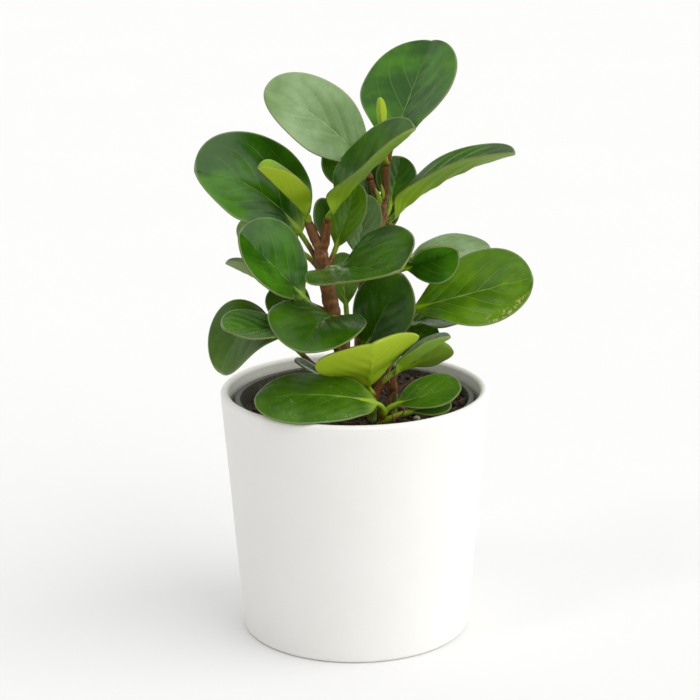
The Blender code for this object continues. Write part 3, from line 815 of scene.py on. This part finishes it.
def node_heights(name):
    """Heights of the rings on a stem: where its petioles leave it, and a few scars."""
    rows = [row["at"] - RING_BELOW for row in LEAVES.values()
            if row["stem"] == name and row["at"] != TIP]
    draw = random.Random(name)
    lowest, highest = STEMS[name][0][1][2], STEMS[name][0][-1][2]
    height = lowest
    while height < highest:
        rows.append(height + draw.uniform(-2, 2))
        height += SCAR_SPACING
    return rows


def stem_tube(cells, line, rings_at):
    """One stem or fork as a closed tube with swollen rings, round at its end."""
    route = smooth_route(line, 24)
    marks = cells.loops.layers.uv.verify()
    rings, values = [], []
    side = Vector((1, 0, 0))
    length = 0.0
    for k, (x, y, z, radius) in enumerate(route):
        point = Vector((x, y, z))
        ahead = Vector(route[min(k + 1, len(route) - 1)][:3]) - Vector(route[max(k - 1, 0)][:3])
        ahead.normalize()
        side = (side - ahead * side.dot(ahead)).normalized()
        over = ahead.cross(side)
        ring_mark = max([exp(-((z - h) / RING_WIDE) ** 2) for h in rings_at] + [0.0])
        to_end = len(route) - 1 - k
        taper = sqrt(max(0.05, 1 - (1 - min(1.0, to_end / 4)) ** 2))
        ring = []
        for i in range(STEM_SIDES):
            turn = 2 * pi * i / STEM_SIDES
            way = side * cos(turn) + over * sin(turn)
            lumps = noise.noise(point * 0.22 + way * 0.9) * 0.11
            lumps += noise.noise(point * 0.9 + way * 2.1) * 0.05
            ring.append(point + way * radius * (1 + lumps + RING_SWELL * ring_mark) * taper)
        rings.append(ring)
        values.append((ring_mark, length / 100))
        length += ahead.length
    rows = skin(cells, rings)
    value_of = {vert: value for row, value in zip(rows, values) for vert in row}
    for face in cells.faces:
        for loop in face.loops:
            if loop.vert in value_of:
                loop[marks].uv = value_of[loop.vert]


def stem_piece(name, finish, slot):
    """A stem with its forks joined to it."""
    rings_at = node_heights(name)
    cells = bmesh.new()
    cells.loops.layers.uv.new("stem")
    stem_tube(cells, STEMS[name][0], rings_at)
    main = as_piece("grown_" + name, cells, finish, slot, name)
    branches = []
    for line in STEMS[name][1:]:
        more = bmesh.new()
        more.loops.layers.uv.new("stem")
        stem_tube(more, line, [line[0][2] + 5])
        branch = in_scene("branch", more, finish)
        join = main.modifiers.new("branch", "BOOLEAN")
        join.operation = "UNION"
        join.object = branch
        branches.append(branch)
    if branches:
        apply_modifiers(main, branches)


def stems():
    """The living stems, the dead shoot and the dry tendril."""
    for name, low, high, roughness, slot, nodes in BARKS:
        finish = bark_material(name, low, high, roughness)
        for node in nodes:
            stem_piece(node, finish, slot)


# ---- leaves

def half_width(row, s):
    """Half the blade's width at a share s of its length: wedge base, elliptic tip."""
    m = row["widest"]
    if s < m:
        return row["width"] / 2 * (1 - (1 - s / m) ** 2) ** row["full"]
    return row["width"] / 2 * max(0.0, 1 - ((s - m) / (1 - m)) ** row["square"]) ** 0.5


def blade_frame(row, s):
    """Point on the midrib, the blade's left and its upper normal at a share s of its length."""
    base = Vector(row["base"])
    chord = Vector(row["tip"]) - base
    ahead = chord.normalized()
    level = UP.cross(ahead).normalized()
    left = Quaternion(ahead, radians(row["roll"])) @ level
    above = ahead.cross(left)
    rise = 4 * s * (1 - s)
    point = base + chord * s + above * row["bow"] * rise + left * row["sweep"] * rise
    slope = 4 * (1 - 2 * s)
    along = (chord + above * row["bow"] * slope + left * row["sweep"] * slope).normalized()
    left = (left - along * left.dot(along)).normalized()
    left = Quaternion(along, radians(row["twist"] * (s - 0.5))) @ left
    return point, along, left, along.cross(left)


def section_stations():
    """Across and face (1 upper, -1 under, 0 margin) of each point round a blade."""
    inner = [a for a in ACROSS if a < 1]
    row = [-a for a in reversed(inner[1:])] + inner
    upper = [(a, 1) for a in row]
    under = [(a, -1) for a in reversed(row)]
    return [(-1, 0)] + upper + [(1, 0)] + under


SECTION = section_stations()


def margin_distance(row, s, across):
    """Distance from a point of the blade to its margin, in millimetres."""
    length = (Vector(row["tip"]) - Vector(row["base"])).length
    sideways = (1 - abs(across)) * half_width(row, s)
    lengthways = (1 - s) * length
    if sideways <= 0 or lengthways <= 0:
        return 0.0
    return 1 / sqrt(1 / sideways ** 2 + 1 / lengthways ** 2)


def relief(row, s, across, strength):
    """How far the blade is raised between its veins, pressed in at them and waved at its margin."""
    out = abs(across)
    phase = s - VEIN_LEAN * out - VEIN_ARCH * out ** 4 + (VEIN_SPACING / 2 if across > 0 else 0)
    cycle = (phase / VEIN_SPACING) % 1.0
    near = min(cycle, 1 - cycle) * VEIN_SPACING
    fade = ease((1 - out) / 0.45) * ease((1 - s) / 0.4) * ease(s / 0.12)
    lift = (QUILT * (1 - cos(2 * pi * cycle)) / 2 - VEIN_DEPTH * exp(-(near / 0.012) ** 2)) * fade
    lateral = out * half_width(row, s)
    rib = exp(-(lateral / 0.7) ** 2) * ease((1 - s) / 0.9)
    wave = sin(2 * pi * (1.7 * s + row["start"] + (0.37 if across > 0 else 0)))
    sag = noise.noise(Vector((across * 1.3, s * 2.2, row["start"] * 9)))
    size = min(1.0, row["width"] / 40)
    free = ease(s / 0.3)
    loose = (RIPPLE * wave * out ** 3 + SAG * sag * out) * free
    return (lift * strength - RIB_DEPTH * rib + loose) * size


def blade_ring(row, s, strength):
    """One fine ring round the blade, blended from the round petiole near its base."""
    point, along, left, above = blade_frame(row, s)
    blend = ease(s / BASE_BLEND)
    width = half_width(row, s)
    ring = []
    for k, (across, face) in enumerate(SECTION):
        out = abs(across)
        fold = row["fold"][0] if across > 0 else row["fold"][1]
        angle = radians(fold + row["cup"] * out / 2 + BASE_CURL * (1 - s) ** 4)
        side = left if across > 0 else -left
        rounded = sqrt(out * out + CREASE * CREASE) - CREASE
        edge = min(MARGIN_ROUND, margin_distance(row, s, across))
        thick = BLADE_THICK * (1 - MARGIN_THINNING * across * across) / 2
        thick *= sqrt(max(0.0, 1 - (1 - edge / MARGIN_ROUND) ** 2))
        lift = face * thick + relief(row, s, across, strength)
        normal = above * cos(angle) - side * sin(angle)
        flat = point + side * cos(angle) * out * width + above * sin(angle) * rounded * width
        flat += normal * lift
        turn = pi * (1 - k / (len(SECTION) / 2))
        reach = max(PETIOLE_RADIUS, width)
        tube = point + left * reach * cos(turn) + above * PETIOLE_RADIUS * sin(turn)
        ring.append(tube.lerp(flat, blend))
    return ring


def petiole_rings(row):
    """Round rings from inside the stem to the blade's base."""
    base, along, left, above = blade_frame(row, 0)
    foot = stem_at(row["stem"], row["at"], base)
    middle = base - along * (base - foot).length * 0.5
    rings = []
    for i in range(PETIOLE_STEPS + 1):
        t = i / PETIOLE_STEPS
        point = foot * (1 - t) ** 2 + middle * 2 * t * (1 - t) + base * t * t
        way = ((middle - foot) * (1 - t) + (base - middle) * t).normalized()
        side = (left - way * left.dot(way)).normalized()
        top = way.cross(side)
        radius = PETIOLE_RADIUS + PETIOLE_FLARE * (1 - ease(t / 0.6))
        turns = [pi * (1 - k / (len(SECTION) / 2)) for k in range(len(SECTION))]
        rings.append([point + side * radius * cos(a) + top * radius * sin(a) for a in turns])
    return rings


def leaf_marks(row):
    """For each ring and point: the UV pairs blade, face and rib."""
    rows = []
    for i in range(PETIOLE_STEPS + 1):
        petiole = 1 - i / PETIOLE_STEPS
        rows.append([((0.5 + a / 2, -0.1 * petiole), 0.3,
                      (PETIOLE_RADIUS * abs(a) / UV_SHRINK, petiole)) for a, face in SECTION])
    for s in blade_shares():
        rows.append([((0.5 + a / 2, s), margin_distance(row, s, a) / UV_SHRINK,
                      (half_width(row, s) * abs(a) / UV_SHRINK, 0)) for a, face in SECTION])
    return rows


def blade_shares():
    """Shares of the blade's length at its rings, close together at the tip."""
    return [sin(pi / 2 * i / (BLADE_STEPS + 0.3)) ** 1.25 for i in range(1, BLADE_STEPS + 1)]


def grow_leaf(name, row, finish, strength, slot):
    """One leaf with its petiole, as a closed mesh with its marks for the material."""
    draw = random.Random(name)
    row["start"] = draw.random()
    rings = petiole_rings(row) + [blade_ring(row, s, strength) for s in blade_shares()]
    marks = leaf_marks(row)
    cells = bmesh.new()
    layers = [cells.loops.layers.uv.new(layer) for layer in ("blade", "face", "rib")]
    rows = skin(cells, rings)
    where = {}
    for i, ring in enumerate(rows):
        for k, vert in enumerate(ring):
            where[vert] = (i, k)
    half = len(SECTION) // 2
    for face in cells.faces:
        known = [where[v] for v in face.verts if v in where]
        spots = sorted(k for i, k in known)
        wraps = spots[-1] - spots[0] > half
        upper = 0.0 if wraps or sum(spots) / len(spots) > half else 1.0
        for loop in face.loops:
            i, k = where.get(loop.vert, known[0])
            blade, margin, rib = marks[i][k]
            if loop.vert not in where:
                blade, margin = (0.5, blade[1]), 0.0 if i else 0.3
            loop[layers[0]].uv = blade
            loop[layers[1]].uv = (upper, margin)
            loop[layers[2]].uv = rib
    as_piece("grown_" + name, cells, finish, slot, name)


def leaves():
    """Every leaf, each with one of the leaf finishes."""
    made = {name: leaf_material(name, look) for name, look in LEAF_LOOKS.items()}
    chosen = {name: (look, strength) for look, rows in FINISHES.items()
              for name, strength in rows.items()}
    for name, row in LEAVES.items():
        look, strength = chosen.get(name, USUAL_FINISH)
        slot = "young_leaf" if name in YOUNG else "leaf"
        grow_leaf(name, row, made[look], strength, slot)


def growing_tips():
    """Tiny folded leaf buds in the crotches of the forks."""
    finish = leaf_material("growing_tip", LEAF_LOOKS["young"])
    for name, foot, tip, thick in GROWING_TIPS:
        foot, tip = Vector(foot), Vector(tip)
        ahead = (tip - foot).normalized()
        side = ahead.orthogonal().normalized()
        over = ahead.cross(side)
        rings = []
        for i in range(TIP_RINGS + 1):
            t = 0.02 + 0.96 * i / TIP_RINGS
            point = foot.lerp(tip, t) + side * 0.5 * sin(pi * t)
            wide = thick * sin(pi * t ** 0.75) ** 0.8
            turns = [2 * pi * k / TIP_SIDES for k in range(TIP_SIDES)]
            rings.append([point + side * wide * cos(a) * (1 + 0.2 * cos(2 * a))
                          + over * wide * 0.75 * sin(a) for a in turns])
        cells = bmesh.new()
        for layer in ("blade", "face", "rib"):
            cells.loops.layers.uv.new(layer)
        skin(cells, rings)
        as_piece(name, cells, finish, "young_leaf")


# ---- soil

def soil_height(x, y):
    """Lumpy top of the soil, which climbs to the nursery rim at the back right."""
    lumps = sin(0.21 * x + 1.3) * cos(0.17 * y) + 0.6 * sin(0.37 * x - 0.29 * y)
    away = hypot(x, y) / NURSERY_RIM_RADIUS
    towards = cos(atan2(y, x) - radians(HEAP_WAY))
    return SOIL_LEVEL + SOIL_BUMP * lumps + SOIL_HEAP * max(0.0, towards) * away ** 2


def crumbly_height(x, y):
    """The soil's top with its crumbs and hollows."""
    spot = Vector((x, y, 0))
    rough = noise.noise(spot * 0.3) * 0.9 + noise.noise(spot * 0.85) * 0.55
    rough += abs(noise.noise(spot * 1.7)) * 0.5
    return soil_height(x, y) + rough


def soil_body(edge, finish):
    """The body of the soil under its loose crumbs."""
    foot = POT_FLOOR + 2 * GAP + NURSERY_WALL
    bottom_edge = nursery_wall(foot) - NURSERY_WALL - GAP
    rings = []
    for k in range(SOIL_RINGS):
        radius = edge * (1 - k / SOIL_RINGS)
        ring = []
        for i in range(SOIL_SPOKES):
            x = radius * cos(2 * pi * i / SOIL_SPOKES)
            y = radius * sin(2 * pi * i / SOIL_SPOKES)
            ring.append(Vector((x, y, crumbly_height(x, y))))
        rings.append(ring)
    bottom = circle(UP * foot, RIGHT, BACK, bottom_edge, SOIL_SPOKES)
    cells = bmesh.new()
    skin(cells, [bottom] + rings)
    as_piece("soil_bed", cells, finish, "soil", "soil")


def lump(cells, place, size, draw, detail=2):
    """An irregular crumb."""
    turn = Quaternion((draw.gauss(0, 1), draw.gauss(0, 1), draw.gauss(0, 1), 1)).normalized()
    stretch_by = Vector((draw.uniform(0.7, 1.3), draw.uniform(0.7, 1.3), draw.uniform(0.5, 0.9)))
    made = bmesh.ops.create_icosphere(cells, subdivisions=detail, radius=1.0)["verts"]
    shift = Vector((draw.random() * 50, draw.random() * 50, draw.random() * 50))
    for vert in made:
        bulge = 1 + 0.55 * noise.noise(vert.co * 1.4 + shift)
        local = Vector(c * f for c, f in zip(vert.co * bulge * size, stretch_by))
        vert.co = (place + turn @ local) * MM


def scatter(draw, edge, bare):
    """A random place on the soil, clear of the stems by a bare distance."""
    roots = [(line[0][1][0], line[0][1][1], line[0][1][3]) for line in STEMS.values()]
    while True:
        radius = edge * sqrt(draw.random())
        turn = draw.uniform(0, 2 * pi)
        x, y = radius * cos(turn), radius * sin(turn)
        if all(hypot(x - rx, y - ry) > rr + bare for rx, ry, rr in roots):
            return x, y


def soil_crumbs(edge, finish):
    """Loose crumbs of soil over the whole bed."""
    draw = random.Random(SEED)
    cells = bmesh.new()
    for i in range(CRUMB_COUNT):
        size = 0.45 + 1.25 * draw.random() ** 3
        x, y = scatter(draw, edge - size - 0.6, size * 0.6)
        lump(cells, Vector((x, y, crumbly_height(x, y) + 0.25 * size)), size, draw,
             2 if size > 0.7 else 1)
    as_piece("soil_crumbs", cells, finish, "soil")


def soil_chips(edge, finish):
    """Flat angular chips of bark."""
    draw = random.Random(SEED + 1)
    cells = bmesh.new()
    for i in range(CHIP_COUNT):
        x, y = scatter(draw, edge - 3, 1.5)
        place = Vector((x, y, crumbly_height(x, y) + 0.5))
        turn = Quaternion((0, 0, 1), draw.uniform(0, 2 * pi))
        turn = turn @ Quaternion((1, 0, 0), draw.uniform(-0.5, 0.5))
        corners = draw.randint(5, 7)
        long, wide = draw.uniform(0.9, 2.0), draw.uniform(0.5, 1.1)
        spin = draw.uniform(0, 1)
        rings = []
        for lift, share in ((-0.35, 0.8), (0.0, 1.0), (0.3, 0.75)):
            ring = []
            for k in range(corners):
                angle = 2 * pi * (k + spin) / corners
                rugged = 1 + 0.3 * noise.noise(Vector((x, y, k * 3.1)))
                ring.append(place + turn @ Vector((long * cos(angle) * share * rugged,
                                                   wide * sin(angle) * share * rugged, lift)))
            rings.append(ring)
        skin(cells, rings)
    as_piece("soil_bark_chips", cells, finish, "soil")


def soil_fibres(edge, finish):
    """Fine coir fibres and root hairs lying on the soil."""
    draw = random.Random(SEED + 2)
    cells = bmesh.new()
    for i in range(FIBRE_COUNT):
        x, y = scatter(draw, edge - 6, 1.0)
        heading = draw.uniform(0, 2 * pi)
        thick = draw.uniform(0.12, 0.28)
        length = draw.uniform(3, 8)
        rings = []
        for k in range(9):
            heading += draw.uniform(-0.35, 0.35)
            x += cos(heading) * length / 9
            y += sin(heading) * length / 9
            lift = 0.35 + 0.5 * sin(pi * k / 8) * draw.uniform(0.6, 1.2)
            centre = Vector((x, y, crumbly_height(x, y) + lift))
            side = Vector((-sin(heading), cos(heading), 0))
            fade = thick * (0.35 + 0.65 * sin(pi * (k + 0.5) / 9))
            rings.append(circle(centre, side, UP, fade, 6))
        skin(cells, rings)
    as_piece("soil_fibres", cells, finish, "soil")


SOIL_PARTS = (soil_body, soil_crumbs, soil_chips, soil_fibres)


def soil():
    """The bed of soil with its loose bits."""
    edge = nursery_wall(SOIL_LEVEL) - NURSERY_WALL - GAP
    for part, (name, dark, light, per_mm) in zip(SOIL_PARTS, SOILS):
        part(edge, soil_material(name, dark, light, per_mm))


def fertiliser():
    """A lumpy fertiliser bead on the soil."""
    x, y = PELLET_PLACE
    height = soil_height(x, y) + PELLET_RADII[2] + PELLET_LIFT
    cells = bmesh.new()
    bmesh.ops.create_icosphere(cells, subdivisions=4, radius=1.0)
    for vert in cells.verts:
        bulge = 1 + 0.12 * noise.noise(vert.co * 1.3) + 0.05 * noise.noise(vert.co * 4)
        shaped = Vector(c * r for c, r in zip(vert.co * bulge, PELLET_RADII))
        vert.co = (shaped + Vector((x, y, height))) * MM
    as_piece("fertiliser_bead", cells, bead_material(), "fertiliser", "fertiliser_pellet")


# ---- studio

CAMERA_AWAY = 1.0653         # metres in front of the pot's axis
CAMERA_HEIGHT = 0.4434
CAMERA_PITCH = 0.2688        # radians down
CAMERA_YAW = -0.0020
CAMERA_ROLL = -0.0085
CAMERA_LENS = 109.33         # millimetres, on a 36 mm sensor
SKY_WAY = (0.35, 0.65, 0.67)  # the bright side of the sky: up, back and to the right
SKY_BACK = 1.0
SKY_FRONT = 0.52
SKY_FADE = (-0.4, 0.45)      # between the front's and the back's brightness
SKY_COLOUR = (1.0, 0.998, 0.99, 1)
FLOOR_HALF_SIZE = 9.0        # metres
# Soft lights: name, the way that the light goes, spread in degrees, strength, colour
SOFTBOXES = [
    ("key", (-0.8, 0.4, -0.6), 75, 1.7, (1.0, 0.99, 0.975)),
    ("window", (0.45, 0.35, -0.8), 12, 0.22, (1.0, 1.0, 1.0)),
]


def camera():
    """A long lens, a little above the plant and level with the photograph's view."""
    ahead = Vector((sin(CAMERA_YAW) * cos(CAMERA_PITCH), cos(CAMERA_YAW) * cos(CAMERA_PITCH),
                    -sin(CAMERA_PITCH)))
    level = Vector((cos(CAMERA_YAW), -sin(CAMERA_YAW), 0))
    upright = level.cross(ahead)
    right = level * cos(CAMERA_ROLL) + upright * sin(CAMERA_ROLL)
    up = upright * cos(CAMERA_ROLL) - level * sin(CAMERA_ROLL)
    turn = Matrix((right, up, -ahead)).transposed()
    made = placed("camera", bpy.data.cameras.new("camera"))
    made.data.lens = CAMERA_LENS
    made.data.sensor_width = 36
    made.matrix_world = Matrix.Translation((0, -CAMERA_AWAY, CAMERA_HEIGHT)) @ turn.to_4x4()
    bpy.context.scene.camera = made


def softbox(name, way, spread, strength, colour):
    """A soft far light that shines along a direction, as wide as its spread in degrees."""
    lamp = bpy.data.lights.new(name, "SUN")
    lamp.angle = radians(spread)
    lamp.energy = strength
    lamp.color = colour
    made = placed(name, lamp)
    made.rotation_euler = Vector(way).to_track_quat("-Z", "Y").to_euler()


def sky():
    """A white sky that is dimmer towards the front, as a studio is behind the camera."""
    world = bpy.data.worlds.new("studio")
    world.use_nodes = True
    tree = world.node_tree
    way = tree.nodes.new("ShaderNodeTexCoord").outputs["Generated"]
    lean = tree.nodes.new("ShaderNodeVectorMath")
    lean.operation = "DOT_PRODUCT"
    tree.links.new(way, lean.inputs[0])
    lean.inputs[1].default_value = SKY_WAY
    fade = tree.nodes.new("ShaderNodeMapRange")
    fade.interpolation_type = "SMOOTHSTEP"
    tree.links.new(lean.outputs["Value"], fade.inputs["Value"])
    fade.inputs["From Min"].default_value = SKY_FADE[0]
    fade.inputs["From Max"].default_value = SKY_FADE[1]
    fade.inputs["To Min"].default_value = SKY_FRONT
    fade.inputs["To Max"].default_value = SKY_BACK
    back = tree.nodes["Background"]
    back.inputs["Color"].default_value = SKY_COLOUR
    tree.links.new(fade.outputs["Result"], back.inputs["Strength"])
    bpy.context.scene.world = world


def studio():
    """A wide pale floor under a white sky, and soft light from the front."""
    cells = bmesh.new()
    bmesh.ops.create_grid(cells, x_segments=24, y_segments=24, size=FLOOR_HALF_SIZE)
    in_scene("floor", cells, floor_material(), closed=False)
    sky()
    for name, way, spread, strength, colour in SOFTBOXES:
        softbox(name, way, spread, strength, colour)
    bpy.context.scene.view_settings.view_transform = "Standard"


cover_pot()
nursery_pot()
soil()
fertiliser()
stems()
leaves()
growing_tips()
camera()
studio()
